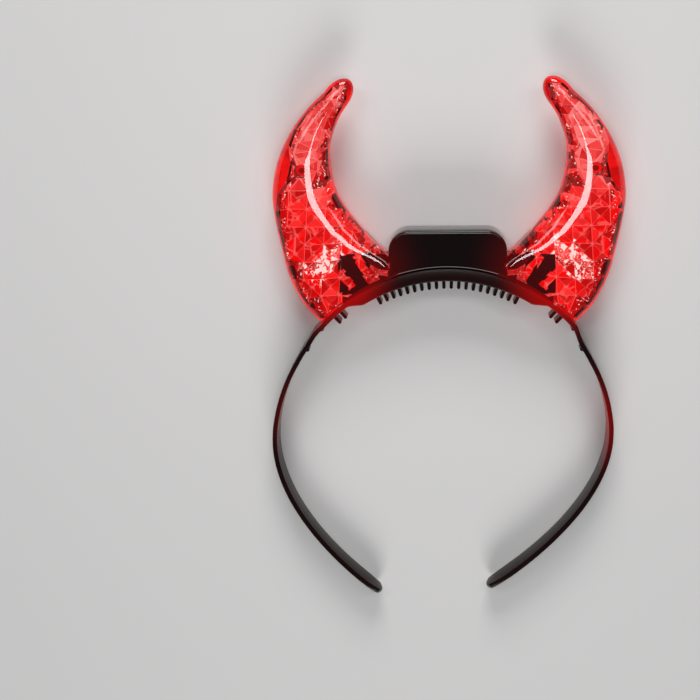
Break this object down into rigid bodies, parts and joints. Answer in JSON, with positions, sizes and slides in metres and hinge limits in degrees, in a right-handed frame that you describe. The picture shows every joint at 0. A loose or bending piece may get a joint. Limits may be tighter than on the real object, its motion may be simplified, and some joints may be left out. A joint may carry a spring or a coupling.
{
  "type": "devil horns headband",
  "caption": "Light-up costume headband: hollow clear red devil horns either side of a black battery housing, on a slim black hoop with comb teeth inside its crown.",
  "frame": {"origin": "centre of the bounding box on the floor that the headband lies on", "axes": "+Y up the head towards the horn tips, +Z out of the headband's front, +X to the right as its front is seen"},
  "size_m": [0.1394, 0.2116, 0.0187],
  "materials": {
    "hoop_black": "satin black moulded plastic",
    "housing_black": "polished black plastic",
    "horn_red": "clear red plastic, polished outside and faceted inside, lit from within",
    "led_lens": "clear lens, lit"
  },
  "bodies": {
    "root": {"headband": "hoop_black", "housing_back": "housing_black", "housing_front": "housing_black", "horn_left_front": "horn_red", "horn_left_back": "horn_red", "horn_right_front": "horn_red", "horn_right_back": "horn_red", "led_left": "led_lens", "led_right": "led_lens"}
  },
  "joints": []
}
